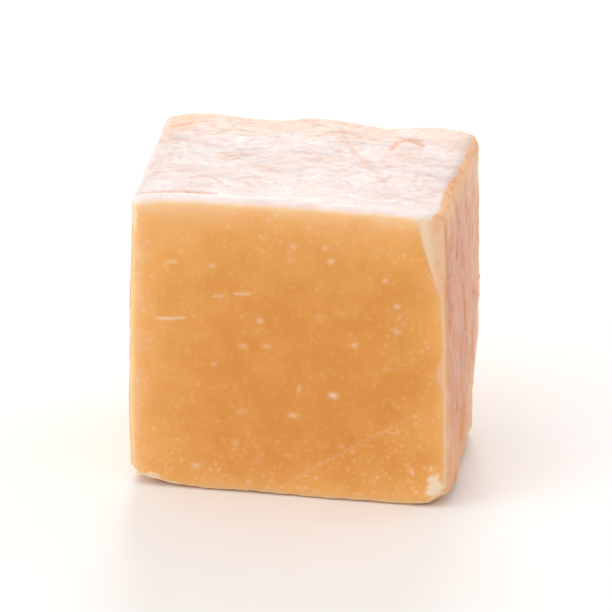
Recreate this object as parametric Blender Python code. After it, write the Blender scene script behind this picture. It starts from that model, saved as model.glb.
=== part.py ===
"""Cut caramel candy: one soft block with a knife-cut front, a wavy top and worn edges.

The block stands on its narrow side. X runs along its width, Y from the cut front
face (-Y) to the back, and Z up from the flat under the block. The origin is in the
middle of the footprint. All sizes are in metres.
"""

import math

import bmesh
import bpy
from mathutils import Vector

MM = 0.001

# Driving sizes of the block
WIDTH = 21.7 * MM
DEPTH = 13.6 * MM
HEIGHT = 21.4 * MM
EDGE_RADIUS = 0.65 * MM

# Rows of faces between the rounded edges, and over each half of an edge
ROWS_ACROSS = 20
ROWS_DEEP = 13
ROWS_HIGH = 20
EDGE_ROWS = 2

# The block spreads towards its base: how far each side leans in at the top
LEAN_LEFT_FRONT = 0.50 * MM
LEAN_LEFT_BACK = 0.10 * MM
LEAN_RIGHT_FRONT = 0.72 * MM
LEAN_RIGHT_BACK = 0.22 * MM
SWELL_RIGHT_BACK = 0.14 * MM

# Top face: it climbs to the back, rolls in soft waves and drops at its ends
TOP_CLIMB = 0.55 * MM
TOP_DROP = 0.42 * MM
TOP_WAVE_HEIGHT = 0.15 * MM
TOP_WAVE_LENGTH = 8.3 * MM
TOP_WAVE_CREST = 0.6 * MM
TOP_NICK = 0.34 * MM
TOP_NICK_Y = -1.5 * MM
TOP_NICK_LENGTH = 1.9 * MM

# Underside: a flat to stand on, with ends that lift off it
FLAT_CENTRE_X = 0.7 * MM
FLAT_HALF_WIDTH = 6.0 * MM
FLAT_CENTRE_Y = -0.6 * MM
FLAT_HALF_DEPTH = 4.9 * MM
HEEL_LIFT = 0.62 * MM
HEEL_LIFT_BACK = 0.10 * MM
HEEL_FADE_BACK = 0.7
FLAT_SINK = 0.02 * MM

# Broad faces: the front is crowned, the back and sides roll gently
FRONT_CROWN = 0.12 * MM
BACK_WAVE_HEIGHT = 0.16 * MM
BACK_WAVE_LENGTH = 9.5 * MM
SIDE_WAVE_HEIGHT = 0.10 * MM
SIDE_WAVE_LENGTH = 4.6 * MM

# Undercut of the lower back corner on the right
TUCK_DEPTH = 1.55 * MM
TUCK_PINCH = 0.28 * MM
TUCK_TOP = 7.3 * MM
TUCK_FADE = 4.4 * MM
TUCK_REACH = 12.0 * MM

# Shaved edge up the front right corner: wide at the top, with one swelling lower down
SHAVE_TURN = math.radians(34.0)
SHAVE_WIDTH = 0.40 * MM
SHAVE_WIDTH_TOP = 1.25 * MM
SHAVE_TOP_START = 14.0 * MM
SHAVE_SWELL = 0.42 * MM
SHAVE_SWELL_Z = 10.0 * MM
SHAVE_SWELL_LENGTH = 1.1 * MM

# Broken corners at the foot of the front face: (x, z, way out, size)
CHIPS = (
    (WIDTH / 2, 0.4 * MM, Vector((0.62, -0.55, -0.56)), 0.95 * MM),
    (-WIDTH / 2, 0.3 * MM, Vector((-0.66, -0.45, -0.60)), 0.85 * MM),
)


def smooth_step(value, start, end):
    """Ease from 0 at start to 1 at end."""
    share = min(max((value - start) / (end - start), 0.0), 1.0)
    return share * share * (3.0 - 2.0 * share)


def bell(value, centre, length):
    """A smooth bump of height 1 around the centre."""
    return math.exp(-((value - centre) / length) ** 2)


def rows(half, count):
    """Places of the cuts along one axis, closer over the rounded edges."""
    inner = half - EDGE_RADIUS
    places = [inner * (2.0 * step / count - 1.0) for step in range(count + 1)]
    for step in range(1, EDGE_ROWS):
        turn = math.radians(45.0) * step / EDGE_ROWS
        place = inner + EDGE_RADIUS * math.tan(turn)
        places += [-place, place]
    return sorted(places)


def sliced_box(half):
    """A closed box with a loop cut at every row."""
    mesh = bmesh.new()
    bmesh.ops.create_cube(mesh, size=2.0)
    bmesh.ops.scale(mesh, vec=half, verts=mesh.verts)
    counts = (ROWS_ACROSS, ROWS_DEEP, ROWS_HIGH)
    for axis, count in enumerate(counts):
        normal = Vector((0.0, 0.0, 0.0))
        normal[axis] = 1.0
        for place in rows(half[axis], count):
            everything = mesh.verts[:] + mesh.edges[:] + mesh.faces[:]
            bmesh.ops.bisect_plane(mesh, geom=everything, plane_co=normal * place,
                                   plane_no=normal, dist=1e-7)
    return mesh


def rounded(point, half):
    """Pull a point of the box onto the box with rounded edges."""
    inner = Vector([min(max(point[i], EDGE_RADIUS - half[i]), half[i] - EDGE_RADIUS)
                    for i in range(3)])
    return inner + (point - inner).normalized() * EDGE_RADIUS


def tuck_share(z):
    """How much of the lower corner's undercut there is at a height."""
    return 1.0 - smooth_step(z, TUCK_TOP - TUCK_FADE, TUCK_TOP)


def side_shift(x, y, z):
    """How far a point moves along X: the lean, the swelling, the side waves and the pinch."""
    share = abs(x) / (WIDTH / 2)
    rise = (z / HEIGHT) ** 2
    backward = y / DEPTH + 0.5
    if x < 0:
        return share * rise * (LEAN_LEFT_FRONT + (LEAN_LEFT_BACK - LEAN_LEFT_FRONT) * backward)
    lean = LEAN_RIGHT_FRONT + (LEAN_RIGHT_BACK - LEAN_RIGHT_FRONT) * backward
    wave = SIDE_WAVE_HEIGHT * math.sin(2.0 * math.pi * y / SIDE_WAVE_LENGTH)
    nick = TOP_NICK * bell(y, TOP_NICK_Y, TOP_NICK_LENGTH) * rise ** 4
    pinch = TUCK_PINCH * tuck_share(z) * backward ** 2
    swell = SWELL_RIGHT_BACK * backward + wave * (1.0 - rise)
    return share ** 3 * (swell - nick - pinch) - share * lean * rise


def face_shift(x, y, z):
    """How far a point moves along Y: the crown of the front, and the back's waves and tuck."""
    across = 2.0 * x / WIDTH
    upward = 2.0 * z / HEIGHT - 1.0
    share = abs(y) / (DEPTH / 2)
    if y < 0:
        return -FRONT_CROWN * share * (1.0 - across ** 2) * (1.0 - upward ** 2)
    wave = BACK_WAVE_HEIGHT * math.sin(2.0 * math.pi * (x + 0.6 * z) / BACK_WAVE_LENGTH)
    near_right = smooth_step(x, WIDTH / 2 - TUCK_REACH, WIDTH / 2)
    return share * (wave - TUCK_DEPTH * tuck_share(z) * near_right)


def height_shift(x, y, z):
    """How far a point moves along Z: the rolling top and the lifted ends underneath."""
    upward = z / HEIGHT
    across = abs(2.0 * x / WIDTH)
    backward = y / DEPTH + 0.5
    turn = 2.0 * math.pi * (x - TOP_WAVE_CREST) / TOP_WAVE_LENGTH
    wave = TOP_WAVE_HEIGHT * math.cos(turn) * backward
    top = TOP_CLIMB * backward + wave - TOP_DROP * across ** 5
    past_side = max(abs(x - FLAT_CENTRE_X) - FLAT_HALF_WIDTH, 0.0) / (WIDTH / 2 - FLAT_HALF_WIDTH)
    past_end = max(abs(y - FLAT_CENTRE_Y) - FLAT_HALF_DEPTH, 0.0) / (DEPTH / 2 - FLAT_HALF_DEPTH)
    heel = HEEL_LIFT * past_side ** 2 * (1.0 - HEEL_FADE_BACK * backward)
    under = heel + HEEL_LIFT_BACK * past_end ** 2 * (y > 0) - FLAT_SINK
    return upward ** 2 * top + (1.0 - upward) ** 3 * under


def shave_width(z):
    """Width of the shaved edge on the front face at a height."""
    widening = SHAVE_WIDTH_TOP * smooth_step(z, SHAVE_TOP_START, HEIGHT)
    return SHAVE_WIDTH + widening + SHAVE_SWELL * bell(z, SHAVE_SWELL_Z, SHAVE_SWELL_LENGTH)


def planed(point, on_plane, way_out):
    """Move a point that stands proud of a plane back onto it."""
    proud = (point - on_plane).dot(way_out)
    return point - way_out * max(proud, 0.0)


def shave_front_corner(point):
    """Plane the upright edge at the front right with a blade that wanders."""
    edge_x = WIDTH / 2 + side_shift(WIDTH / 2, -DEPTH / 2, point.z)
    on_plane = Vector((edge_x - shave_width(point.z), -DEPTH / 2, point.z))
    way_out = Vector((math.sin(SHAVE_TURN), -math.cos(SHAVE_TURN), 0.0))
    return planed(point, on_plane, way_out)


def break_corners(point):
    """Plane off the broken corners at the foot of the front face."""
    for x, z, way_out, size in CHIPS:
        corner = Vector((x, -DEPTH / 2, z))
        direction = way_out.normalized()
        point = planed(point, corner - direction * size, direction)
    return point


def shaped(point, half):
    """The place on the finished block of a point of the plain box."""
    point = rounded(point, half) + Vector((0.0, 0.0, half[2]))
    x, y, z = point
    point = Vector((x + side_shift(x, y, z), y + face_shift(x, y, z), z + height_shift(x, y, z)))
    point = break_corners(shave_front_corner(point))
    point.z = max(point.z, 0.0)
    return point


def caramel_material():
    """Soft caramel: warm tan with a satin surface."""
    material = bpy.data.materials.new("caramel")
    material.use_nodes = True
    shader = material.node_tree.nodes["Principled BSDF"]
    shader.inputs["Base Color"].default_value = (0.72, 0.34, 0.10, 1.0)
    shader.inputs["Roughness"].default_value = 0.45
    shader.inputs["Metallic"].default_value = 0.0
    return material


def caramel_block():
    """Model the whole candy as one closed block."""
    half = Vector((WIDTH / 2, DEPTH / 2, HEIGHT / 2))
    mesh = sliced_box(half)
    for vertex in mesh.verts:
        vertex.co = shaped(vertex.co.copy(), half)
    bmesh.ops.recalc_face_normals(mesh, faces=mesh.faces)
    data = bpy.data.meshes.new("caramel_block")
    mesh.to_mesh(data)
    mesh.free()
    data.shade_smooth()
    data.materials.append(caramel_material())
    block = bpy.data.objects.new("caramel_block", data)
    bpy.context.scene.collection.objects.link(block)
    return block


def main():
    """Clear the scene and model the candy."""
    for old in list(bpy.data.objects):
        bpy.data.objects.remove(old, do_unlink=True)
    caramel_block()


main()
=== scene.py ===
"""Cut caramel candy: the finish of one soft caramel block on a pale studio floor.

The block's overall form repeats the sizes of its solid. A fine mesh of that form then
gets its real relief: the wrinkled top, the dragged sides, the smooth cut faces with
their scratches and chips, and the crumbled edges. The block's sizes are in millimetres, and
its mesh is scaled to metres as it is made. The studio's sizes are in metres.
"""

import itertools
import logging
import math
from dataclasses import dataclass
from enum import Enum

import bpy
import numpy as np
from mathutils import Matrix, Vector


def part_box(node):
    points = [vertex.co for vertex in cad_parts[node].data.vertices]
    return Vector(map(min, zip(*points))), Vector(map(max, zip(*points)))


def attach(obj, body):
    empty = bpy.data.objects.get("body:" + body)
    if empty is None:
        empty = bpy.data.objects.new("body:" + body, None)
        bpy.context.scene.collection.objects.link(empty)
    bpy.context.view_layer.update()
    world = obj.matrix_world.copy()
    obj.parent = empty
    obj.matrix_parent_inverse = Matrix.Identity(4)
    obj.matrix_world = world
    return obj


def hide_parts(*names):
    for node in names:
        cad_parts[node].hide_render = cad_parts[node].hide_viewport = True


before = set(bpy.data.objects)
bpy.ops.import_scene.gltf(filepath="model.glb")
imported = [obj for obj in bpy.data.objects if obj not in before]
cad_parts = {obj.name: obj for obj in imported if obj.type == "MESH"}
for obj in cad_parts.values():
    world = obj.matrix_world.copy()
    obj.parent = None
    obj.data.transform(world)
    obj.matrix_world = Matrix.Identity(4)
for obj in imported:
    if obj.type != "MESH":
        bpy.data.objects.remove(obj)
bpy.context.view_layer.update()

LOG = logging.getLogger("caramel_candy")
MM = 0.001
NODE = "caramel_block"
BODY = "root"

Array = np.ndarray
Pair = tuple[float, float]
Triple = tuple[float, float, float]
Colour = tuple[float, float, float, float]
Socket = bpy.types.NodeSocket


def ease(value: Array, start: float, end: float) -> Array:
    """Ease from 0 at start to 1 at end, whichever of the two is the higher."""
    share = np.clip((value - start) / (end - start), 0.0, 1.0)
    return share * share * (3.0 - 2.0 * share)


def bell(value: Array, centre: float, length: float) -> Array:
    """A smooth bump of height 1 around the centre, length wide to each side."""
    return np.exp(-((value - centre) / length) ** 2)


def paint(red: int, green: int, blue: int) -> Colour:
    """Turn a display colour, 0 to 255 each, into the linear colour that shaders use.

    Args:
        red: display red.
        green: display green.
        blue: display blue.

    Returns:
        The linear colour with full alpha.
    """
    def linear(level: int) -> float:
        """Undo the display curve of one channel."""
        share = level / 255.0
        return share / 12.92 if share <= 0.04045 else ((share + 0.055) / 1.055) ** 2.4
    return linear(red), linear(green), linear(blue), 1.0


class Side(Enum):
    """The six faces of the block, as the axis each one faces and its sign."""

    LEFT = (0, -1)
    RIGHT = (0, 1)
    FRONT = (1, -1)
    BACK = (1, 1)
    BASE = (2, -1)
    TOP = (2, 1)

    @property
    def axis(self) -> int:
        """The axis that the face looks along: 0, 1 or 2 for X, Y or Z."""
        return self.value[0]

    @property
    def sign(self) -> int:
        """1 where the face looks along the axis, -1 where it looks against it."""
        return self.value[1]

    @property
    def across(self) -> tuple[int, int]:
        """The two axes that lie in the face."""
        return tuple(axis for axis in range(3) if axis != self.axis)


LEFT, RIGHT, FRONT, BACK, BASE, TOP = Side


@dataclass(frozen=True)
class Flakes:
    """What the flakes of a crumbled skin give at each point."""

    height: Array
    seam: Array
    tone: Array


class Noise:
    """Smooth seeded noise in space, for the unevenness of a hand-cut sweet."""

    TABLE = 256
    GAIN = 1.8
    SPREAD = 0.45
    OTHER = 57

    def __init__(self, seed: int) -> None:
        """Draw the table of directions that the noise is made from.

        Args:
            seed: the number that fixes this noise.
        """
        draw = np.random.default_rng(seed)
        directions = draw.normal(size=(self.TABLE, 3))
        self.directions = directions / np.linalg.norm(directions, axis=1, keepdims=True)
        self.order = draw.permutation(self.TABLE)

    def _pick(self, cell: Array) -> Array:
        """The direction that belongs to each cell corner."""
        place = self.order[(self.order[cell[:, 0] % self.TABLE] + cell[:, 1]) % self.TABLE]
        return self.directions[self.order[(place + cell[:, 2]) % self.TABLE]]

    def at(self, points: Array, cell: tuple[float, ...]) -> Array:
        """Read the noise.

        Args:
            points: the places to read, one row each.
            cell: the size of one soft blob along X, Y and Z, or one size for all three.

        Returns:
            One value for each point, from about -1 to 1.
        """
        place = points / np.asarray(cell)
        corner = np.floor(place).astype(np.int64)
        inside = place - corner
        eased = inside ** 3 * (inside * (inside * 6.0 - 15.0) + 10.0)
        total = np.zeros(len(points))
        for step in itertools.product((0, 1), repeat=3):
            weight = np.prod(np.where(step, eased, 1.0 - eased), axis=1)
            slope = np.einsum("ij,ij->i", self._pick(corner + step), inside - step)
            total += weight * slope
        return total * self.GAIN

    def crests(self, points: Array, cell: tuple[float, ...]) -> Array:
        """The same noise folded over, with narrow crests at 1 and broad hollows below."""
        return 1.0 - 2.0 * np.abs(self.at(points, cell))

    def flakes(self, points: Array, cell: tuple[float, ...]) -> Flakes:
        """Split space into uneven flakes that are each tipped their own way.

        Args:
            points: the places to read, one row each.
            cell: the usual size of a flake along X, Y and Z.

        Returns:
            How high the tipped flakes stand, how far their seams are, and a tone each.
        """
        place = points / np.asarray(cell)
        corner = np.floor(place).astype(np.int64)
        nearest = np.full(len(points), np.inf)
        second = np.full(len(points), np.inf)
        height = np.zeros(len(points))
        tone = np.zeros(len(points))
        for step in itertools.product((-1, 0, 1), repeat=3):
            home = corner + step
            offset = place - home - 0.5 - self.SPREAD * self._pick(home)
            gap = np.linalg.norm(offset, axis=1)
            closer = gap < nearest
            second = np.where(closer, nearest, np.minimum(second, gap))
            nearest = np.where(closer, gap, nearest)
            tip = self._pick(home + self.OTHER)
            height = np.where(closer, np.einsum("ij,ij->i", offset, tip), height)
            tone = np.where(closer, 0.5 + 0.5 * tip[:, 0], tone)
        return Flakes(height, second - nearest, tone)


@dataclass(frozen=True)
class BoxMesh:
    """A closed box of fine square faces with rounded edges.

    The rows of faces crowd together over the rounded edges, so that they stay round.
    """

    width: float
    depth: float
    height: float
    radius: float = 0.65
    counts: tuple[int, int, int] = (134, 82, 132)
    edge_rows: int = 6
    sheet_gap: float = 0.8

    @property
    def half(self) -> Array:
        """Half of the width, the depth and the height."""
        return np.array((self.width, self.depth, self.height)) / 2.0

    def rows(self, axis: int) -> Array:
        """Place the rows along one axis.

        Args:
            axis: 0, 1 or 2 for X, Y or Z.

        Returns:
            The rows' places, from the low side to the high side.
        """
        inner = self.half[axis] - self.radius
        flat = np.linspace(-inner, inner, self.counts[axis] + 1)
        turns = np.radians(45.0) * np.arange(1, self.edge_rows + 1) / self.edge_rows
        bend = inner + self.radius * np.tan(turns)
        return np.concatenate((-bend[::-1], flat, bend))

    def build(self) -> tuple[Array, Array, Array]:
        """Lay the rows over all six faces and join them along the edges.

        Returns:
            The points on the sharp box, the four corners of each face, and each face
            corner's place on an unfolded sheet.
        """
        rows = [self.rows(axis) for axis in range(3)]
        size = [len(row) for row in rows]
        keys, sheet = [], []
        for side in Side:
            first, second = side.across
            a, b = np.meshgrid(np.arange(size[first] - 1), np.arange(size[second] - 1), indexing="ij")
            ring = ((0, 0), (1, 0), (1, 1), (0, 1))
            if (side.sign > 0) == (side.axis == 1):
                ring = ring[::-1]
            index = np.zeros((a.size, 4, 3), dtype=np.int64)
            index[:, :, side.axis] = size[side.axis] - 1 if side.sign > 0 else 0
            for corner, (over, up) in enumerate(ring):
                index[:, corner, first] = a.ravel() + over
                index[:, corner, second] = b.ravel() + up
            keys.append((index[..., 0] * size[1] + index[..., 1]) * size[2] + index[..., 2])
            flat = np.stack((rows[first][index[..., first]], rows[second][index[..., second]]), axis=-1)
            column, row = (2, 0, 1)[side.axis], (side.sign + 1) // 2
            place = column * (self.width + self.sheet_gap), row * (self.height + self.sheet_gap)
            sheet.append(flat + place)
        unique, quads = np.unique(np.concatenate(keys), return_inverse=True)
        x, rest = np.divmod(unique, size[1] * size[2])
        y, z = np.divmod(rest, size[2])
        points = np.column_stack((rows[0][x], rows[1][y], rows[2][z]))
        sheet = np.concatenate(sheet)
        sheet = (sheet - sheet.min(axis=(0, 1))) / np.ptp(sheet[..., 0])
        return points, quads.reshape(-1, 4), sheet

    def rounded(self, points: Array) -> tuple[Array, Array]:
        """Pull the points of the sharp box onto the box with rounded edges.

        Args:
            points: the points on the sharp box.

        Returns:
            The rounded points, standing on Z = 0, and the way out at each of them.
        """
        inner = np.clip(points, self.radius - self.half, self.half - self.radius)
        way_out = points - inner
        way_out /= np.linalg.norm(way_out, axis=1, keepdims=True)
        placed = inner + way_out * self.radius
        placed[:, 2] += self.half[2]
        return placed, way_out


@dataclass(frozen=True)
class BlockForm:
    """The overall form of the block: leans, waves, lifts and cuts.

    The sizes are those of the solid, so that the finish lies on it. Each broken corner
    is its X as a share of half the width, its Z, its way out and its size.
    """

    width: float = 21.7
    depth: float = 13.6
    height: float = 21.4
    lean_left: Pair = (0.50, 0.10)
    lean_right: Pair = (0.72, 0.22)
    swell_right_back: float = 0.14
    top_climb: float = 0.55
    top_drop: float = 0.42
    top_wave_height: float = 0.15
    top_wave_length: float = 8.3
    top_wave_crest: float = 0.6
    top_nick: float = 0.34
    top_nick_y: float = -1.5
    top_nick_length: float = 1.9
    flat_centre: Pair = (0.7, -0.6)
    flat_half: Pair = (6.0, 4.9)
    flat_sink: float = 0.02
    heel_lift: float = 0.62
    heel_lift_back: float = 0.10
    heel_fade_back: float = 0.7
    front_crown: float = 0.12
    back_wave_height: float = 0.16
    back_wave_length: float = 9.5
    back_wave_slant: float = 0.6
    side_wave_height: float = 0.10
    side_wave_length: float = 4.6
    tuck_depth: float = 1.55
    tuck_pinch: float = 0.28
    tuck_top: float = 7.3
    tuck_fade: float = 4.4
    tuck_reach: float = 12.0
    shave_turn: float = math.radians(34.0)
    shave_width: float = 0.40
    shave_width_top: float = 1.25
    shave_top_start: float = 14.0
    shave_swell: float = 0.42
    shave_swell_z: float = 10.0
    shave_swell_length: float = 1.1
    broken_corners: tuple[tuple[float, float, Triple, float], ...] = (
        (1.0, 0.4, (0.62, -0.55, -0.56), 0.95),
        (-1.0, 0.3, (-0.66, -0.45, -0.60), 0.85),
    )

    def tuck_share(self, z: Array) -> Array:
        """How much of the lower corner's undercut there is at a height."""
        return ease(z, self.tuck_top, self.tuck_top - self.tuck_fade)

    def side_shift(self, points: Array) -> Array:
        """How far points move along X.

        Args:
            points: the points of the plain box.

        Returns:
            The lean, the swelling, the side waves and the pinch together.
        """
        x, y, z = points.T
        share = np.abs(x) / (self.width / 2)
        rise = (z / self.height) ** 2
        backward = y / self.depth + 0.5
        left = self.lean_left[0] + (self.lean_left[1] - self.lean_left[0]) * backward
        right = self.lean_right[0] + (self.lean_right[1] - self.lean_right[0]) * backward
        wave = self.side_wave_height * np.sin(2.0 * math.pi * y / self.side_wave_length)
        nick = self.top_nick * bell(y, self.top_nick_y, self.top_nick_length) * rise ** 4
        pinch = self.tuck_pinch * self.tuck_share(z) * backward ** 2
        swell = self.swell_right_back * backward + wave * (1.0 - rise)
        to_right = share ** 3 * (swell - nick - pinch) - share * right * rise
        return np.where(x < 0, share * rise * left, to_right)

    def face_shift(self, points: Array) -> Array:
        """How far points move along Y.

        Args:
            points: the points of the plain box.

        Returns:
            The crown of the front, and the back's waves and undercut.
        """
        x, y, z = points.T
        across = 2.0 * x / self.width
        upward = 2.0 * z / self.height - 1.0
        share = np.abs(y) / (self.depth / 2)
        crown = -self.front_crown * share * (1.0 - across ** 2) * (1.0 - upward ** 2)
        turn = 2.0 * math.pi * (x + self.back_wave_slant * z) / self.back_wave_length
        near_right = ease(x, self.width / 2 - self.tuck_reach, self.width / 2)
        tuck = self.tuck_depth * self.tuck_share(z) * near_right
        return np.where(y < 0, crown, share * (self.back_wave_height * np.sin(turn) - tuck))

    def height_shift(self, points: Array) -> Array:
        """How far points move along Z.

        Args:
            points: the points of the plain box.

        Returns:
            The rolling top and the lifted ends underneath.
        """
        x, y, z = points.T
        upward = z / self.height
        across = np.abs(2.0 * x / self.width)
        backward = y / self.depth + 0.5
        turn = 2.0 * math.pi * (x - self.top_wave_crest) / self.top_wave_length
        wave = self.top_wave_height * np.cos(turn) * backward
        top = self.top_climb * backward + wave - self.top_drop * across ** 5
        half_x, half_y = self.flat_half
        past_side = np.maximum(np.abs(x - self.flat_centre[0]) - half_x, 0.0) / (self.width / 2 - half_x)
        past_end = np.maximum(np.abs(y - self.flat_centre[1]) - half_y, 0.0) / (self.depth / 2 - half_y)
        heel = self.heel_lift * past_side ** 2 * (1.0 - self.heel_fade_back * backward)
        under = heel + self.heel_lift_back * past_end ** 2 * (y > 0) - self.flat_sink
        return upward ** 2 * top + (1.0 - upward) ** 3 * under

    def shave_edge_x(self, z: Array) -> Array:
        """Find where the shaved edge starts on the front face.

        Args:
            z: the heights to look at.

        Returns:
            The place along X at each height.
        """
        widening = self.shave_width_top * ease(z, self.shave_top_start, self.height)
        swelling = self.shave_swell * bell(z, self.shave_swell_z, self.shave_swell_length)
        corner = np.column_stack((np.full_like(z, self.width / 2), np.full_like(z, -self.depth / 2), z))
        return self.width / 2 + self.side_shift(corner) - (self.shave_width + widening + swelling)

    def shaped(self, points: Array) -> tuple[Array, Array]:
        """Give the plain rounded box its overall form.

        Args:
            points: the points of the rounded box, standing on Z = 0.

        Returns:
            The points of the formed block, and how much was shaved off at each.
        """
        shifts = self.side_shift(points), self.face_shift(points), self.height_shift(points)
        formed = points + np.column_stack(shifts)
        blade = np.array((math.sin(self.shave_turn), -math.cos(self.shave_turn), 0.0))
        z = formed[:, 2]
        on_blade = np.column_stack((self.shave_edge_x(z), np.full_like(z, -self.depth / 2), z))
        formed, shaved = planed(formed, on_blade, blade)
        for share, foot, way_out, size in self.broken_corners:
            way_out = np.array(way_out) / np.linalg.norm(way_out)
            corner = np.array((share * self.width / 2, -self.depth / 2, foot))
            formed, _ = planed(formed, corner - way_out * size, way_out)
        return formed, shaved


def planed(points: Array, on_plane: Array, way_out: Array) -> tuple[Array, Array]:
    """Move the points that stand proud of a plane back onto it, and say how far each moved."""
    proud = np.maximum((points - on_plane) @ way_out, 0.0)
    return points - proud[:, None] * way_out, proud


@dataclass(frozen=True)
class Surface:
    """Every point of the block's surface, where it lies on the faces, and its noises."""

    points: Array
    sharp: Array
    way_out: Array
    proud: Array
    half: Array
    noise: dict[str, Noise]
    shave_fade: float = 0.14

    @property
    def shaved(self) -> Array:
        """Where the front right edge was shaved flat, from 0 to 1."""
        return ease(self.proud, 0.0, self.shave_fade)

    def uneven(self, kind: str, *cell: float) -> Array:
        """Read one kind of noise at the surface's own points."""
        return self.noise[kind].at(self.points, cell)

    def on(self, side: Side, start: float = 0.45, end: float = 0.80) -> Array:
        """How much each point belongs to a face: from start it begins to, at end it does fully."""
        return ease(self.way_out[:, side.axis] * side.sign, start, end)

    def gap(self, side: Side) -> Array:
        """How far each point lies from the plane of a face."""
        return self.half[side.axis] - side.sign * self.sharp[:, side.axis]

    def near_edges(self, reaches: dict[Side, Pair], scale: Array | float = 1.0) -> Array:
        """How close each point lies to the faces that meet its own.

        Args:
            reaches: how far the nearness to each face reaches, and how strong it is.
            scale: what the reaches are multiplied by.

        Returns:
            The nearness, from 0 to 1.
        """
        rest = np.ones(len(self.points))
        for side, (reach, strength) in reaches.items():
            near = np.exp(-self.gap(side) / (reach * scale)) * (1.0 - self.on(side, 0.7, 0.95))
            rest *= 1.0 - strength * near
        return 1.0 - rest


@dataclass(frozen=True)
class Mark:
    """One crease, scratch or raised line, drawn as a bowed stroke on a face.

    Its start and end are places along the face's own two axes. A positive depth cuts
    in, a negative one stands out. Pale and warm say how much the stroke lightens or
    deepens the colour.
    """

    side: Side
    start: Pair
    end: Pair
    bow: float
    width: float
    depth: float
    pale: float = 0.0
    warm: float = 0.0

    STEPS = 28

    def closeness(self, surface: Surface) -> Array:
        """How close points lie to the stroke.

        Args:
            surface: the block's surface.

        Returns:
            1 on the stroke, falling to 0 away from it and on the other faces.
        """
        start, end = np.array(self.start), np.array(self.end)
        length = np.linalg.norm(end - start)
        along = (end - start) / length
        aside = np.array((-along[1], along[0]))
        flat = surface.points[:, self.side.across]
        best = np.zeros(len(flat))
        for share in (np.arange(self.STEPS) + 0.5) / self.STEPS:
            arch = 4.0 * share * (1.0 - share)
            centre = start + along * length * share + aside * self.bow * arch
            run = along + aside * self.bow * 4.0 * (1.0 - 2.0 * share) / length
            run /= np.linalg.norm(run)
            reach = self.width * (0.4 + 0.6 * math.sqrt(arch))
            spread = max(reach, 0.8 * length / self.STEPS)
            offset = flat - centre
            lengthwise = offset @ run
            sideways = offset @ np.array((-run[1], run[0]))
            best = np.maximum(best, np.exp(-(lengthwise / spread) ** 2 - (sideways / reach) ** 2))
        return best * surface.on(self.side)


@dataclass(frozen=True)
class Speck:
    """A pale fleck of milk and sugar in a cut face, longer one way than the other."""

    side: Side
    place: Pair
    size: float
    stretch: float = 1.0
    turn: float = 0.0
    strength: float = 0.45
    depth: float = 0.0

    def closeness(self, surface: Surface) -> Array:
        """How close points lie to the fleck.

        Args:
            surface: the block's surface.

        Returns:
            1 in the fleck, falling to 0 away from it and on the other faces.
        """
        offset = surface.points[:, self.side.across] - np.array(self.place)
        run = np.array((math.cos(self.turn), math.sin(self.turn)))
        lengthwise = offset @ run / (self.size * self.stretch)
        sideways = offset @ np.array((-run[1], run[0])) / self.size
        return np.exp(-lengthwise ** 2 - sideways ** 2) * surface.on(self.side)


@dataclass(frozen=True)
class Chip:
    """A pale crumbly place on a face where a small chip broke off."""

    side: Side
    place: Pair
    size: Pair
    strength: float = 0.9

    def closeness(self, surface: Surface, crumbs: Array) -> Array:
        """How much points belong to the chip.

        Args:
            surface: the block's surface.
            crumbs: noise that makes the chip's outline ragged.

        Returns:
            Its strength inside, falling raggedly to 0 outside.
        """
        offset = (surface.points[:, self.side.across] - np.array(self.place)) / np.array(self.size)
        inside = ease(np.linalg.norm(offset, axis=1) + 0.45 * crumbs, 1.15, 0.6)
        return self.strength * inside * surface.on(self.side, 0.1, 0.4)


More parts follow.
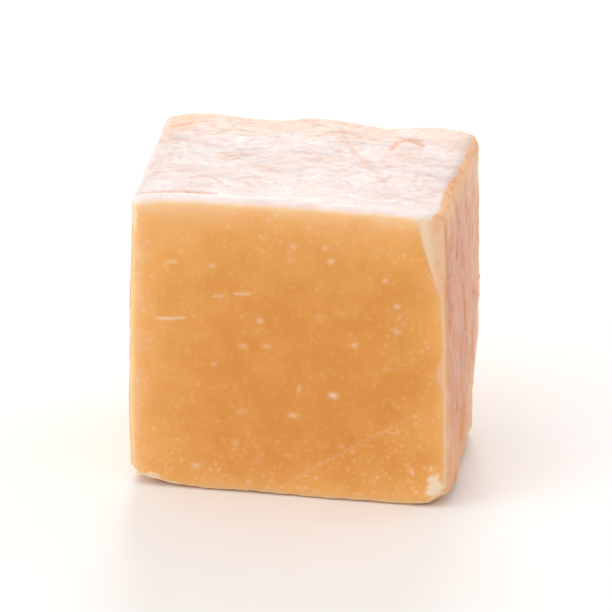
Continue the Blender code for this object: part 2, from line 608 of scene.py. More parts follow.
@dataclass(frozen=True)
class Relief:
    """The fine relief of all six faces: how far each point stands out or is sunk.

    The heights belong, in order, to the skin's broad swells, folds and grain, to its big
    flakes, small flakes and seams, to the sides' broad, narrow and fine grooves and
    tears, to the cut faces' roll, level drags and grain, and to the edges' dents and
    crumbs. The long and deep sizes stretch a noise so far that it stays even that way.
    """

    surface: Surface
    lip_height: float = 0.10
    lip_place: float = 0.42
    lip_width: float = 0.34
    skin_heights: Triple = (0.06, 0.020, 0.018)
    crumple_heights: Triple = (0.050, 0.040, 0.022)
    drag_heights: tuple[float, ...] = (0.060, 0.045, 0.034, 0.105)
    cut_heights: Triple = (0.055, 0.006, 0.007)
    crumb_heights: Pair = (0.055, 0.024)
    wobble_height: float = 0.045
    deep: float = 9.0
    long: float = 30.0

    def wrinkled(self) -> Flakes:
        """Crumple the skin of the top and the underside.

        Returns:
            The relief as the height, with the flakes' own seams and tones.
        """
        noise, uneven, deep = self.surface.noise, self.surface.uneven, self.deep
        flow = self.surface.points.copy()
        flow[:, 1] += 0.90 * uneven("drift", 4.0, 2.6, deep)
        flow[:, 1] += 0.30 * uneven("dent", 1.2, 0.9, deep)
        flow[:, 0] += 0.50 * uneven("grain", 1.3, 0.9, deep)
        flakes = noise["flake"].flakes(flow, (1.5, 0.95, deep))
        small = noise["patch"].flakes(flow, (0.66, 0.52, deep))
        folds = noise["folds"].crests(flow, (3.4, 1.1, deep))
        cloud = noise["lines"].at(flow, (2.2, 1.1, deep))
        rough = 0.35 + 0.65 * ease(uneven("patch", 2.8, 2.0, deep), -0.35, 0.35)
        seams = ease(flakes.seam, 0.20, 0.0)
        broad_height, fold_height, grain_height = self.skin_heights
        big_height, small_height, seam_depth = self.crumple_heights
        crumple = big_height * flakes.height + small_height * small.height - seam_depth * seams
        calm = 1.0 - 0.75 * bell(self.surface.gap(FRONT), 0.0, 0.9)
        height = calm * (fold_height * folds + 0.92 * rough * crumple)
        height += broad_height * uneven("drift", 5.0, 2.8, deep)
        height += grain_height * uneven("grain", 0.40, 0.34, deep)
        tone = 0.5 + 0.55 * cloud + 0.25 * (flakes.tone - 0.5) + 0.25 * (small.tone - 0.5)
        return Flakes(height, seams * rough * calm, tone)

    def drags(self) -> Array:
        """Drag upright grooves down the two sides, as a blade does.

        Returns:
            The grooves' height at each point.
        """
        noise, uneven, deep, long = self.surface.noise, self.surface.uneven, self.deep, self.long
        flow = self.surface.points.copy()
        flow[:, 1] += 0.45 * uneven("drift", deep, 4.0, 5.0)
        flow[:, 1] += 0.14 * uneven("dent", deep, 1.0, 1.6)
        flow[:, 2] += 0.60 * uneven("wobble", deep, 0.9, 1.8)
        tears = noise["flake"].flakes(flow, (long, 0.62, 1.25)).height
        torn = ease(uneven("patch", long, 2.4, 3.6), -0.3, 0.4) * tears
        layers = (noise["folds"].at(flow, (long, 1.9, 8.0)), noise["lines"].crests(flow, (long, 0.95, 4.0)),
                  noise["grain"].crests(flow, (long, 0.50, 1.9)), torn)
        return sum(height * layer for height, layer in zip(self.drag_heights, layers))

    def cut(self) -> Array:
        """Smooth the front and back as a knife does, with a soft roll and level drags.

        Returns:
            The relief's height at each point.
        """
        uneven, long = self.surface.uneven, self.long
        layers = (uneven("wobble", 5.0, long, 4.2), uneven("lines", 5.5, long, 0.55),
                  uneven("grain", 0.55, 0.55, 0.45))
        return sum(height * layer for height, layer in zip(self.cut_heights, layers))

    def crumbs(self) -> Array:
        """Chip the edges and corners a little, most on the right edge of the top.

        Returns:
            The relief's height at each point.
        """
        surface = self.surface
        edge = ease(np.abs(surface.way_out).max(axis=1), 0.995, 0.74)
        dent_height, crumb_height = self.crumb_heights
        right_top = surface.on(RIGHT, 0.25, 0.5) * surface.on(TOP, 0.25, 0.5)
        uneven = dent_height * surface.uneven("dent", 1.15) + crumb_height * surface.uneven("flake", 0.55)
        return edge * (1.0 + 0.3 * right_top) * uneven

    def lip(self) -> Array:
        """Raise the lip that the cut pushed up along the front of the top.

        Returns:
            The lip's height at each point.
        """
        swing = 0.35 + 0.65 * ease(self.surface.uneven("wobble", 4.0, 9.0, 9.0), -0.5, 0.3)
        along = bell(self.surface.gap(FRONT), self.lip_place, self.lip_width)
        return self.lip_height * swing * along * self.surface.on(TOP)

    def height(self, wrinkled: Array) -> Array:
        """How far the relief stands out at each point.

        Args:
            wrinkled: the relief of the crumpled skin.

        Returns:
            The relief's height, negative where it is sunk.
        """
        on, smooth = self.surface.on, 1.0 - self.surface.shaved
        total = self.wobble_height * self.surface.uneven("wobble", 3.4) + self.crumbs() + self.lip()
        total += wrinkled * (on(TOP) + on(BASE))
        total += self.drags() * (on(RIGHT, 0.7, 0.97) + 0.6 * on(LEFT, 0.7, 0.97))
        return total + self.cut() * (on(FRONT) + on(BACK)) * smooth


@dataclass(frozen=True)
class Wear:
    """Where the caramel is pale, dry-skinned, bare or creased, and where glowing light, highlights, sheen
    and shade are painted on.

    Each method gives a share from 0 to 1 for each point. The tables say how far the
    painted glowing light and the pale edges, rubbed and partly painted light, reach from each face, and how
    strong they are.
    """

    surface: Surface

    # How far the painted glowing light reaches in from each face, and how strong it is.
    PAINTED_GLOW = {LEFT: (2.8, 0.95), RIGHT: (1.4, 0.75), TOP: (3.0, 1.0),
            BASE: (1.8, 0.80), FRONT: (1.5, 0.5), BACK: (1.5, 0.5)}
    # How far the pale edges reach, rubbed and partly painted glowing light, and how strong they are.
    RUBBED_AND_GLOW = {LEFT: (0.62, 0.80), RIGHT: (0.35, 0.7), TOP: (0.85, 0.95),
              BASE: (0.40, 0.6), FRONT: (0.35, 0.4), BACK: (0.40, 0.4)}
    GRAIN = {side: (2.6, 0.75) for side in Side}
    BELOW_KNIFE = np.array((0.68, 0.0, -1.0))
    KNIFE_LEVEL = -1.008

    def painted_glow(self) -> Array:
        """Painted glowing light: the light that shines in through the neighbouring faces and brightens a
        cut face, painted into its colour.
        """
        faded = 1.0 - 0.45 * self.surface.on(BACK)
        return self.surface.near_edges(self.PAINTED_GLOW) * faded + 0.10 * self.scraped()

    def scraped(self) -> Array:
        """The paler, grainier corner of the front below the knife's line."""
        below = self.surface.points @ self.BELOW_KNIFE - self.KNIFE_LEVEL
        return self.surface.on(FRONT) * ease(below, -0.15, 0.15)

    def worn_and_glow(self) -> Array:
        """Pale the edges, partly rubbed pale and partly painted glowing light, less on the left and back
        than in front.

        Returns:
            A share for each point.
        """
        surface = self.surface
        near = surface.near_edges(self.RUBBED_AND_GLOW, 1.0 + 0.5 * surface.uneven("patch", 1.6))
        kept = 1.0 - 0.65 * surface.on(BACK, 0.0, 0.5) - 0.5 * surface.on(LEFT, 0.6, 0.9)
        return near * kept

    def grain(self) -> Array:
        """Grain the cut faces: little in the middle, more all round and at the foot.

        Returns:
            A share for each point.
        """
        foot = ease(self.surface.points[:, 2], 6.5, 3.0)
        total = 0.26 + 0.70 * self.surface.near_edges(self.GRAIN) + 0.18 * foot + 0.25 * self.scraped()
        return np.clip(total, 0.0, 1.0)

    def bare(self) -> Array:
        """Find the tan bevel along the right of the top and beside the shaved edge.

        Returns:
            A share for each point.
        """
        surface = self.surface
        outward = surface.way_out[:, 0]
        ragged = surface.uneven("dent", 0.9)
        bevel = ease(outward + 0.16 * ragged, 0.10, 0.40) * ease(outward, 0.02, 0.10)
        high = ease(surface.points[:, 2] + 0.5 * ragged, 19.6, 21.0)
        far = ease(surface.gap(RIGHT) + 0.12 * ragged, 1.0, 0.25)
        far *= surface.shaved * (1.0 - surface.on(TOP, 0.3, 0.5))
        return np.maximum(bevel * high, 0.6 * far)

    def foot(self) -> Array:
        """Deepen the colour low on the dragged side, partly as painted shade, and along its front edge.

        Returns:
            A share for each point.
        """
        ragged = self.surface.uneven("dent", 1.4, 1.4, 2.4)
        low = ease(self.surface.points[:, 2] + 1.8 * ragged, 6.5, 0.6)
        near = ease(self.surface.gap(FRONT) + 0.6 * ragged, 3.0, 0.4)
        return np.maximum(0.9 * low, 0.5 * near)

    def frost_and_sheen(self) -> Array:
        """Find the pale dry skin of the top, its paleness partly a painted sheen, which ends raggedly at
        its four edges.

        Returns:
            A share for each point.
        """
        surface = self.surface
        right_out, back_out, _ = surface.way_out.T
        ragged = surface.uneven("dent", 1.1) + 0.8 * surface.uneven("grain", 0.42)
        limit = 0.42 - 0.24 * ease(-surface.points[:, 1], 1.0, 4.0)
        right = ease(right_out + 0.14 * ragged - limit, 0.25, 0.0)
        left = ease(-right_out + 0.36 * ragged, 1.02, 0.78)
        back = ease(back_out + 0.20 * ragged, 0.85, 0.40)
        front = ease(-back_out + 0.05 * ragged, 1.00, 0.55)
        return surface.on(TOP, 0.15, 0.30) * right * left * back * front

    def painted_rim_light(self) -> Array:
        """Find the painted highlight on the lip along the front of the top and along its left edge, with a
        painted hazy sheen over the front half.

        Returns:
            A share for each point.
        """
        surface = self.surface
        gap = surface.gap(FRONT)
        ragged = surface.uneven("dent", 1.6, 0.8, 0.8)
        inner = ease(gap + 0.25 * ragged, 1.0, 0.35) * (0.85 + 0.3 * ragged)
        left = 0.6 * ease(surface.gap(LEFT) + 0.3 * ragged, 0.7, 0.1)
        # painted sheen: a white hazy sheen over the front half of the top
        painted_sheen_haze = 0.35 * np.exp(-gap / 2.2)
        return surface.on(TOP, 0.15, 0.3) * np.maximum(np.maximum(inner, left), painted_sheen_haze)

    def blush_and_glow(self) -> Array:
        """Tint the back of the top, and cloudy places on the skins, with peach, and paint glowing light
        along the side's back edge.

        Returns:
            A share for each point.
        """
        surface = self.surface
        x, y, z = surface.points.T
        cloud = surface.uneven("tone", 2.6, 1.8, 2.6)
        tan_corner = ease(-x + 0.8 * y, 10.0, 13.0)
        # painted glowing light along the side's back edge, where light shines through
        painted_rim_light = np.exp(-surface.gap(BACK) / 2.4)
        top = surface.on(TOP) * (0.45 * ease(y, 2.6, 6.0) + 0.28 * cloud + 0.6 * tan_corner)
        ends = 0.25 * ease(z, 16.0, 20.5) + 0.20 * ease(z, 8.0, 1.0)
        return top + surface.on(RIGHT) * (ends + painted_rim_light + 0.25 * cloud)

    def broken(self, chips: tuple[Chip, ...]) -> Array:
        """Pale crumbly places where small chips broke off.

        Args:
            chips: the chips.

        Returns:
            A share for each point.
        """
        crumbs = self.surface.uneven("flake", 0.34)
        return np.max([chip.closeness(self.surface, crumbs) for chip in chips], axis=0)

    def facts(self, skin: Flakes, height: Array, chips: tuple[Chip, ...]) -> dict[str, Array]:
        """Gather what the finish reads at each point.

        Args:
            skin: the flakes of the wrinkled skin.
            height: the relief's height.
            chips: the chips.

        Returns:
            One share for each point, by name.
        """
        surface = self.surface
        # deeper colour along seams and marks, and where the relief is sunk, which is painted shade
        creases = 0.22 * skin.seam * surface.on(TOP) + ease(-height, 0.08, 0.26)
        return {
            # painted glowing light: cut faces painted brighter near their edges, where light shines in
            "painted_glow": self.painted_glow(),
            # pale edges: partly rubbed, partly painted glowing light
            "worn_and_glow": self.worn_and_glow(),
            "grain": self.grain(),
            "bare": self.bare(),
            # deeper amber low on the side, partly painted shade
            "foot": self.foot(),
            # peach tint, with painted glowing light along the side's back edge
            "blush_and_glow": self.blush_and_glow(),
            # painted highlight on the top's front lip, and a painted sheen over its front
            "painted_rim_light": self.painted_rim_light(),
            # pale cream on the shaved facet, growing towards the top into a painted highlight along the
            # fold
            "shaved": surface.shaved * (0.30 + 0.60 * ease(surface.points[:, 2], 12.0, 19.0)),
            # the top's pale dry skin, partly a painted sheen
            "top_skin": self.frost_and_sheen(),
            "side_skin": surface.on(RIGHT, 0.50, 0.75) * (1.0 - surface.shaved),
            "flake": skin.tone,
            "crease": creases,
            "pale": self.broken(chips),
        }


class Recipe:
    """Lays out a material's shader nodes. Its sizes are in millimetres."""

    FIRST, SECOND, MIXED = 6, 7, 2

    def __init__(self, name: str) -> None:
        """Start a material with a plain shader.

        Args:
            name: the material's name.
        """
        self.material = bpy.data.materials.new(name)
        self.material.use_nodes = True
        self.tree = self.material.node_tree
        self.shader = self.tree.nodes["Principled BSDF"]
        self.place = self.add("ShaderNodeTexCoord", {}).outputs["Object"]

    def add(self, kind: str, inputs: dict[str | int, object], **settings: object) -> bpy.types.Node:
        """Add a node.

        Args:
            kind: the node's type.
            inputs: what feeds each input.
            settings: the node's own properties.

        Returns:
            The node.
        """
        node = self.tree.nodes.new(kind)
        for name, value in settings.items():
            setattr(node, name, value)
        self.feed(node, inputs)
        return node

    def feed(self, node: bpy.types.Node, inputs: dict[str | int, object]) -> None:
        """Feed a node's inputs.

        Args:
            node: the node.
            inputs: an output to link, or a plain value to set, for each input.
        """
        for socket, value in inputs.items():
            if isinstance(value, Socket):
                self.tree.links.new(value, node.inputs[socket])
            else:
                node.inputs[socket].default_value = value

    def fact(self, name: str) -> Socket:
        """Read a number stored on the mesh's points."""
        return self.add("ShaderNodeAttribute", {}, attribute_name=name).outputs["Fac"]

    def total(self, first: object, second: object, operation: str = "ADD") -> Socket:
        """Add two values up, kept within 0 and 1."""
        node = self.add("ShaderNodeMath", {0: first, 1: second}, operation=operation, use_clamp=True)
        return node.outputs[0]

    def times(self, first: object, second: object) -> Socket:
        """Multiply two values, kept within 0 and 1."""
        return self.total(first, second, "MULTIPLY")

    def noise(self, cell: float, detail: float, stretch: Triple = (1.0, 1.0, 1.0)) -> Socket:
        """Soft noise in the block's own space.

        Args:
            cell: the size of one blob.
            detail: how many finer layers lie on top.
            stretch: how much longer the blobs are along each axis.

        Returns:
            The output that holds the noise, from 0 to 1.
        """
        scale = [1.0 / (cell * MM * length) for length in stretch]
        place = self.add("ShaderNodeMapping", {"Vector": self.place, "Scale": scale}).outputs["Vector"]
        inputs = {"Vector": place, "Scale": 1.0, "Detail": detail, "Roughness": 0.55}
        return self.add("ShaderNodeTexNoise", inputs).outputs["Fac"]

    def dots(self, cell: float, size: float) -> Socket:
        """Strew soft round dots a cell apart, size being a dot's radius as a share of the cell."""
        node = self.add("ShaderNodeTexVoronoi", {"Vector": self.place, "Scale": 1.0 / (cell * MM)})
        return self.span(node.outputs["Distance"], 0.1 * size, size, 1.0, 0.0)

    def span(self, value: Socket, low: float, high: float,
             to_low: float = 0.0, to_high: float = 1.0) -> Socket:
        """Ease the range from low to high onto the range from to_low to to_high."""
        inputs = {"Value": value, "From Min": low, "From Max": high, "To Min": to_low, "To Max": to_high}
        return self.add("ShaderNodeMapRange", inputs, interpolation_type="SMOOTHSTEP").outputs["Result"]

    def coats(self, colour: object, *coats: tuple[object, object]) -> Socket:
        """Lay coats of colour over one another.

        Args:
            colour: the lowest colour.
            coats: for each coat, how much it covers what is below, and its colour.

        Returns:
            The output that holds the final colour.
        """
        for share, coat in coats:
            inputs = {0: share, self.FIRST: colour, self.SECOND: coat}
            colour = self.add("ShaderNodeMix", inputs, data_type="RGBA").outputs[self.MIXED]
        return colour

    def bump(self, height: Socket, depth: float, **under: Socket) -> Socket:
        """Raise fine relief in the shading, on top of the relief given as Normal."""
        inputs = {"Height": height, "Distance": depth * MM, "Strength": 1.0, **under}
        return self.add("ShaderNodeBump", inputs).outputs["Normal"]


@dataclass(frozen=True)
class CaramelFinish:
    """Soft caramel: tan where it was cut, painted brighter near its edges as glowing light, and a pale dry
    skin, partly a painted sheen, where it wrinkled.
    """

    core: Colour = paint(228, 152, 62)
    # painted glowing light: the brighter gold of the cut faces near their edges
    painted_glow_gold: Colour = paint(251, 184, 98)
    # deeper colour of creases and sunk places, partly painted shade
    deep: Colour = paint(206, 122, 44)
    # pale edges: partly rubbed, partly painted glowing light
    edge: Colour = paint(255, 218, 174)
    # the shaved facet's cream, near the top a painted highlight along the fold
    shaved: Colour = paint(255, 227, 194)
    cream: Colour = paint(255, 233, 208)
    sugar: Colour = paint(252, 206, 146)
    # painted highlight: the white of the top's front lip
    painted_rim_light: Colour = paint(255, 238, 236)
    # the top's pale dry skin, partly a painted sheen
    frost_with_sheen: Colour = paint(232, 223, 219)
    frost_pink: Colour = paint(217, 196, 189)
    # the top's crease colour, partly painted shade in its hollows
    frost_line: Colour = paint(224, 156, 114)
    peach: Colour = paint(238, 202, 174)
    side: Colour = paint(228, 153, 113)
    side_pale: Colour = paint(228, 173, 148)
    side_line: Colour = paint(208, 128, 90)
    # peach of the side's tint, partly painted glowing light along its back edge
    side_rim: Colour = paint(255, 208, 170)
    tan: Colour = paint(246, 192, 144)
    amber: Colour = paint(236, 164, 106)
    upright: Triple = (1.0, 1.0, 8.0)
    bend: float = 1.48
    glow_weight: float = 0.45
    glow_reach: float = 1.2
    glow_share: Triple = (1.0, 0.42, 0.16)
    dryness: float = 0.12
    grain_size: float = 0.30
    grain_depth: float = 0.016
    pore_size: float = 0.10
    pore_depth: float = 0.006
    groove_size: float = 0.17
    groove_depth: float = 0.10

    def material(self) -> bpy.types.Material:
        """Lay out the caramel's shader.

        Returns:
            The material.
        """
        recipe = Recipe("caramel")
        on_top, on_side = recipe.fact("top_skin"), recipe.fact("side_skin")
        grain = recipe.noise(self.grain_size, 3.0)
        streaks = recipe.noise(self.groove_size, 3.0, self.upright)
        torn = recipe.span(recipe.noise(0.7, 3.0), 0.50, 0.74)
        colour = recipe.coats(
            self._cut(recipe, grain),
            (on_side, self._side(recipe, streaks)),
            (recipe.fact("bare"), recipe.coats(self.tan, (torn, self.amber))),
            (on_top, self._top(recipe)),
            (recipe.fact("pale"), self.cream))
        smooth = recipe.span(grain, 0.25, 0.75, 0.36, 0.52)
        fine = recipe.bump(grain, self.grain_depth)
        fine = recipe.bump(recipe.noise(self.pore_size, 2.0), self.pore_depth, Normal=fine)
        grooves = recipe.times(streaks, on_side)
        recipe.feed(recipe.shader, {
            "Base Color": colour,
            "Roughness": recipe.total(smooth, recipe.times(on_top, self.dryness)),
            "IOR": self.bend,
            "Subsurface Weight": self.glow_weight,
            "Subsurface Radius": self.glow_share,
            "Subsurface Scale": self.glow_reach * MM,
            "Normal": recipe.bump(grooves, self.groove_depth, Normal=fine)})
        return recipe.material

    def _cut(self, recipe: Recipe, grain: Socket) -> Socket:
        """Colour the cut faces, from the middle out to the edges: painted glowing light near the edges,
        pale edges partly rubbed and partly painted light, painted shade in sunk places, and a painted
        highlight high on the shaved facet.

        Args:
            recipe: the material's nodes.
            grain: the fine grain that the whole block shares.

        Returns:
            The output that holds the colour.
        """
        span, noise, fact = recipe.span, recipe.noise, recipe.fact
        # painted glowing light near the edges, with a little random tone
        painted_glow = recipe.total(fact("painted_glow"), span(noise(2.4, 3.0), 0.32, 0.68, -0.13, 0.13))
        grains = recipe.times(span(grain, 0.44, 0.78), span(noise(0.85, 2.0), 0.40, 0.66))
        grains = recipe.times(recipe.times(grains, 0.7), fact("grain"))
        dots = recipe.times(recipe.dots(0.60, 0.42), span(noise(1.2, 3.0), 0.44, 0.62, 0.0, 0.34))
        dots = recipe.times(dots, fact("grain"))
        return recipe.coats(self.core, (painted_glow, self.painted_glow_gold), (grains, self.sugar), (dots, self.cream),
                            (fact("worn_and_glow"), self.edge), (fact("crease"), self.deep),
                            (fact("shaved"), self.shaved))

    def _side(self, recipe: Recipe, streaks: Socket) -> Socket:
        """Colour of the dragged side, with its fine upright streaks, its amber foot partly painted shade,
        and peach along its back edge partly painted glowing light.
        """
        clouds = recipe.noise(1.1, 5.0, (1.0, 1.0, 1.7))
        return recipe.coats(self.side, (recipe.span(clouds, 0.34, 0.64), self.side_pale),
                            (recipe.span(streaks, 0.42, 0.70, 0.0, 0.45), self.side_line),
                            # the amber low on the side is partly painted shade
                            (recipe.fact("foot"), self.amber), (recipe.fact("blush_and_glow"), self.side_rim),
                            (recipe.fact("worn_and_glow"), self.edge), (recipe.fact("crease"), self.side_line))

    def _top(self, recipe: Recipe) -> Socket:
        """Colour of the wrinkled top, white over pink, the white partly a painted sheen, with a painted
        highlight along the front lip.
        """
        streaks = recipe.span(recipe.noise(0.30, 5.0, (1.8, 1.0, 1.0)), 0.44, 0.66, 0.0, 0.75)
        return recipe.coats(self.frost_with_sheen, (recipe.fact("flake"), self.frost_pink), (streaks, self.frost_pink),
                            (recipe.fact("blush_and_glow"), self.peach), (recipe.fact("painted_rim_light"), self.painted_rim_light),
                            (recipe.fact("crease"), self.frost_line))


@dataclass(frozen=True)
class CaramelBlock:
    """The whole candy as one closed mesh with its relief, its wear and its finish.

    The marks are creases, scratches and raised lines, and the chips lie at the foot and
    high on the left edge of the front, where the clear specks are too.
    """

    form: BlockForm = BlockForm()
    finish: CaramelFinish = CaramelFinish()
    noise_seed: int = 41
    noise_kinds: str = "drift folds lines patch grain dent wobble flake"
    tone_seed: int = 131
    speck_seed: int = 7
    speck_count: int = 26
    pale_cover: float = 0.9
    marks: tuple[Mark, ...] = (
        Mark(TOP, (1.6, 5.2), (5.2, -1.2), -0.35, 0.18, 0.07, warm=0.45),
        Mark(TOP, (5.4, 2.7), (7.3, 3.4), 1.2, 0.22, 0.06, warm=0.8),
        Mark(TOP, (4.3, -1.3), (5.9, -2.6), 0.2, 0.16, 0.07, warm=0.35),
        Mark(TOP, (4.6, -2.9), (6.0, -1.5), -0.2, 0.15, 0.07, warm=0.35),
        Mark(TOP, (5.2, -0.4), (6.8, -0.2), 0.3, 0.15, 0.05, warm=0.3),
        Mark(TOP, (-9.7, 2.3), (-8.3, 2.0), 0.2, 0.16, 0.07, warm=0.5),
        Mark(TOP, (-9.9, 4.6), (-8.6, 4.9), -0.2, 0.24, 0.06, warm=0.6),
        Mark(TOP, (0.3, 3.6), (1.6, 4.3), 0.2, 0.20, 0.05, warm=0.5),
        Mark(TOP, (6.3, 4.3), (7.4, 3.3), 0.2, 0.30, 0.03, warm=0.7),
        Mark(TOP, (-5.5, -0.5), (-3.6, 0.5), 0.25, 0.13, 0.07, warm=0.6),
        Mark(TOP, (-7.3, -4.0), (-4.8, -4.2), 0.7, 0.12, 0.06, warm=0.5),
        Mark(TOP, (-1.8, -0.9), (0.7, -0.2), 0.1, 0.12, 0.05, warm=0.3),
        Mark(TOP, (-10.2, -6.0), (-4.9, -5.8), 0.05, 0.15, 0.09, warm=0.9),
        Mark(FRONT, (-8.8, 12.6), (-6.8, 12.8), 0.0, 0.09, 0.03, pale=0.75),
        Mark(FRONT, (-3.5, 14.8), (-2.4, 14.9), 0.0, 0.10, 0.02, pale=0.45),
        Mark(FRONT, (-4.9, 14.5), (-4.2, 14.6), 0.0, 0.12, 0.02, pale=0.35),
        Mark(FRONT, (-8.1, 16.7), (-7.3, 16.8), 0.0, 0.12, 0.02, pale=0.35),
        Mark(FRONT, (-0.6, 0.6), (8.8, 7.0), 0.15, 0.13, -0.02, pale=0.12),
        Mark(RIGHT, (-5.7, 20.8), (-5.4, 12.2), 0.1, 0.50, 0.06, warm=0.7),
        Mark(RIGHT, (-4.5, 20.6), (-3.2, 17.6), 0.1, 0.16, 0.10, warm=0.7),
        Mark(RIGHT, (-1.1, 16.6), (0.8, 8.4), 0.3, 0.14, 0.09, warm=0.45),
        Mark(RIGHT, (2.6, 18.4), (2.9, 11.2), 0.2, 0.13, 0.08, warm=0.4),
        Mark(RIGHT, (-3.4, 11.5), (-3.0, 4.2), -0.2, 0.13, 0.08, warm=0.4),
        Mark(BACK, (2.4, 13.1), (-0.7, 12.3), 0.1, 0.40, -0.05, pale=0.5),
        Mark(BACK, (2.1, 13.0), (-0.4, 12.4), 0.1, 0.20, 0.42, warm=1.0),
        Mark(BACK, (-6.4, 17.2), (-4.6, 17.4), 0.0, 0.09, 0.03, pale=0.6),
        Mark(BACK, (4.2, 4.4), (7.6, 5.0), 0.2, 0.09, 0.03, pale=0.4),
        Mark(LEFT, (2.6, 16.2), (0.9, 16.0), 0.0, 0.09, 0.03, pale=0.6),
        Mark(LEFT, (-3.9, 4.2), (-1.8, 6.4), 0.2, 0.10, 0.04, pale=0.35),
    )
    chips: tuple[Chip, ...] = (
        Chip(FRONT, (9.9, 1.6), (0.60, 1.05), 0.85),
        Chip(FRONT, (-9.3, 0.75), (0.75, 0.40), 0.7),
        Chip(FRONT, (-7.9, 0.35), (0.45, 0.22)),
        Chip(FRONT, (-10.3, 19.9), (0.35, 0.9), 0.7),
    )
    clear_specks: tuple[Speck, ...] = (
        Speck(FRONT, (6.5, 16.5), 0.17),
        Speck(FRONT, (7.3, 14.7), 0.20),
        Speck(FRONT, (7.3, 12.9), 0.20, 1.2, -0.7),
        Speck(FRONT, (4.5, 11.7), 0.18, 1.3),
        Speck(FRONT, (3.1, 7.9), 0.19, 1.6, -0.2, 0.75),
        Speck(FRONT, (0.8, 8.2), 0.12, 2.2, 1.5),
        Speck(FRONT, (0.4, 6.2), 0.17, 2.0, -0.1),
        Speck(FRONT, (-1.8, 13.0), 0.20),
        Speck(FRONT, (2.9, 17.6), 0.20, 1.2, 0.0, 0.4),
        Speck(FRONT, (-6.2, 1.9), 0.20, 1.6),
    )

    def noises(self) -> dict[str, Noise]:
        """Make the noises that the faces share, one for each kind of unevenness."""
        kinds = enumerate(self.noise_kinds.split(), start=self.noise_seed)
        return {**{kind: Noise(seed) for seed, kind in kinds}, "tone": Noise(self.tone_seed)}

    def specks(self) -> list[Speck]:
        """List the clearest flecks in the front, then seeded flecks and a few pits.

        Returns:
            The flecks, and the pits with pale rims that other flecks left.
        """
        specks = list(self.clear_specks)
        draw = np.random.default_rng(self.speck_seed)
        half = np.array((self.form.width, self.form.depth, self.form.height)) / 2.0
        for side in (FRONT, BACK, LEFT):
            for _ in range(self.speck_count):
                place = draw.uniform(-0.92, 0.92, 2) * half[list(side.across)]
                size, stretch = draw.uniform(0.09, 0.20), draw.uniform(1.0, 1.9)
                turn, strength = draw.uniform(-0.6, 0.6), draw.uniform(0.10, 0.35)
                place[1] += half[2]
                specks.append(Speck(side, tuple(place), size, stretch, turn, strength))
        for side, places in ((BACK, ((-5.6, 9.2), (-4.9, 8.3), (6.3, 16.1))),
                             (LEFT, ((3.2, 10.8), (3.8, 9.7), (-2.6, 14.6)))):
            for place in places:
                specks.append(Speck(side, place, 0.30, 1.4, 1.1, 0.42))
                specks.append(Speck(side, place, 0.17, 1.5, 1.1, 0.0, 0.16))
        return specks

    def build(self) -> bpy.types.Object:
        """Make the mesh, store its wear on its points, and dress it.

        Returns:
            The finished block.
        """
        grid = BoxMesh(self.form.width, self.form.depth, self.form.height)
        sharp, quads, sheet = grid.build()
        plain, way_out = grid.rounded(sharp)
        formed, proud = self.form.shaped(plain)
        surface = Surface(fitted(formed), sharp, way_out, proud, grid.half, self.noises())
        relief = Relief(surface)
        skin = relief.wrinkled()
        height = relief.height(skin.height)
        facts = Wear(surface).facts(skin, height, self.chips)
        for mark in self.marks:
            near = mark.closeness(surface)
            height -= mark.depth * near
            facts["pale"] = np.maximum(facts["pale"], mark.pale * near)
            facts["crease"] = np.maximum(facts["crease"], mark.warm * near)
            facts["pale"] *= 1.0 - self.pale_cover * mark.warm * near
        for speck in self.specks():
            near = speck.closeness(surface)
            height -= speck.depth * near
            facts["pale"] = np.maximum(facts["pale"], speck.strength * near)
        points = surface.points + way_out * height[:, None]
        points[:, 2] = np.maximum(points[:, 2], 0.0)
        piece = mesh_piece("caramel_candy", points * MM, quads, sheet)
        for name, values in facts.items():
            layer = piece.data.attributes.new(name, "FLOAT", "POINT")
            layer.data.foreach_set("value", np.clip(values, 0.0, 1.0).astype(np.float32))
        piece.data.materials.append(self.finish.material())
        return piece


def fitted(points: Array) -> Array:
    """Bring the formed block to the solid's own box.

    Args:
        points: the points of the formed block.

    Returns:
        The points, with the same lowest and highest places as the solid.
    """
    low, high = (np.array(corner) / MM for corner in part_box(NODE))
    share = (points - points.min(axis=0)) / np.ptp(points, axis=0)
    return low + share * (high - low)


def mesh_piece(name: str, points: Array, quads: Array, sheet: Array) -> bpy.types.Object:
    """Make a smooth mesh object from its points and four-sided faces.

    Args:
        name: the object's name.
        points: the points, one row each, in metres.
        quads: the four corners of each face.
        sheet: each face corner's place on the unfolded sheet.

    Returns:
        The object, linked into the scene.
    """
    data = bpy.data.meshes.new(name)
    data.from_pydata(points.tolist(), [], quads.tolist())
    layer = data.uv_layers.new(name="OFBake")
    layer.data.foreach_set("uv", sheet.reshape(-1).astype(np.float32))
    data.shade_smooth()
    data.update()
    piece = bpy.data.objects.new(name, data)
    bpy.context.scene.collection.objects.link(piece)
    return piece


@dataclass(frozen=True)
class Softbox:
    """One round studio light: where it hangs, how wide it is and how bright."""

    name: str
    place: Triple
    size: float
    power: float

    def build(self, aim: Vector) -> None:
        """Hang the light and point it at the block.

        Args:
            aim: the place that it points at.
        """
        data = bpy.data.lights.new(self.name, "AREA")
        data.shape = "DISK"
        data.size = self.size
        data.energy = self.power
        light = bpy.data.objects.new(self.name, data)
        light.location = self.place
        light.rotation_euler = (aim - light.location).to_track_quat("-Z", "Y").to_euler()
        bpy.context.scene.collection.objects.link(light)


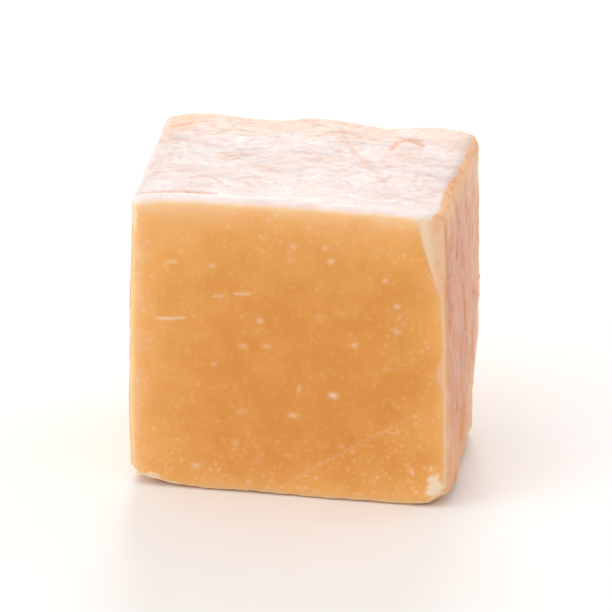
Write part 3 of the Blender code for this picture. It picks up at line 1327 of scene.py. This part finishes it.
@dataclass(frozen=True)
class Studio:
    """A pale floor under soft, even, bright light."""

    floor_size: float = 4.0
    floor_colour: Colour = paint(246, 244, 242)
    floor_roughness: float = 0.7
    sky: float = 0.62
    sky_colour: Colour = (1.0, 1.0, 1.0, 1.0)
    lights: tuple[Softbox, ...] = (
        Softbox("light_back", (-0.07, 0.60, 0.32), 0.28, 1.5),
        Softbox("light_above", (-0.10, -0.12, 0.70), 0.50, 1.5),
        Softbox("light_left", (-0.55, -0.32, 0.34), 0.45, 1.0),
        Softbox("light_right", (0.50, 0.30, 0.26), 0.40, 0.36),
    )

    def build(self, aim: Vector) -> None:
        """Lay the floor, light the room and hang the lights.

        Args:
            aim: the place that the lights point at.
        """
        bpy.ops.mesh.primitive_plane_add(size=self.floor_size)
        floor = bpy.context.active_object
        floor.name = "floor"
        recipe = Recipe("floor")
        recipe.feed(recipe.shader, {"Base Color": self.floor_colour, "Roughness": self.floor_roughness})
        floor.data.materials.append(recipe.material)
        world = bpy.data.worlds.new("studio")
        world.use_nodes = True
        backdrop = world.node_tree.nodes["Background"]
        backdrop.inputs["Color"].default_value = self.sky_colour
        backdrop.inputs["Strength"].default_value = self.sky
        bpy.context.scene.world = world
        for light in self.lights:
            light.build(aim)
        bpy.context.scene.view_settings.view_transform = "Standard"


@dataclass(frozen=True)
class Viewpoint:
    """The camera: where it stands round the block, how high, and how much it takes in."""

    azimuth: float = 9.66
    elevation: float = 25.01
    distance: float = 0.28626
    field: float = 8.236
    clip_start: float = 0.01

    def build(self, centre: Vector) -> None:
        """Stand the camera and make it the scene's own.

        Args:
            centre: the middle of the block.
        """
        turn, lift = math.radians(self.azimuth), math.radians(self.elevation)
        back = Vector((math.sin(turn) * math.cos(lift), -math.cos(turn) * math.cos(lift), math.sin(lift)))
        data = bpy.data.cameras.new("camera")
        data.angle = math.radians(self.field)
        data.clip_start = self.clip_start
        camera = bpy.data.objects.new("camera", data)
        camera.location = centre + back * self.distance
        camera.rotation_euler = (-back).to_track_quat("-Z", "Y").to_euler()
        bpy.context.scene.collection.objects.link(camera)
        bpy.context.scene.camera = camera


def main() -> None:
    """Build the block, set it on its body, and light it."""
    logging.basicConfig(level=logging.INFO, format="%(message)s")
    low, high = (Vector(corner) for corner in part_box(NODE))
    centre = (low + high) / 2
    block = CaramelBlock().build()
    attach(block, BODY)
    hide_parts(NODE)
    LOG.info("%s: %d faces", block.name, len(block.data.polygons))
    Studio().build(centre)
    Viewpoint().build(centre)
    LOG.info("studio and camera ready")


if __name__ == "__main__":
    main()
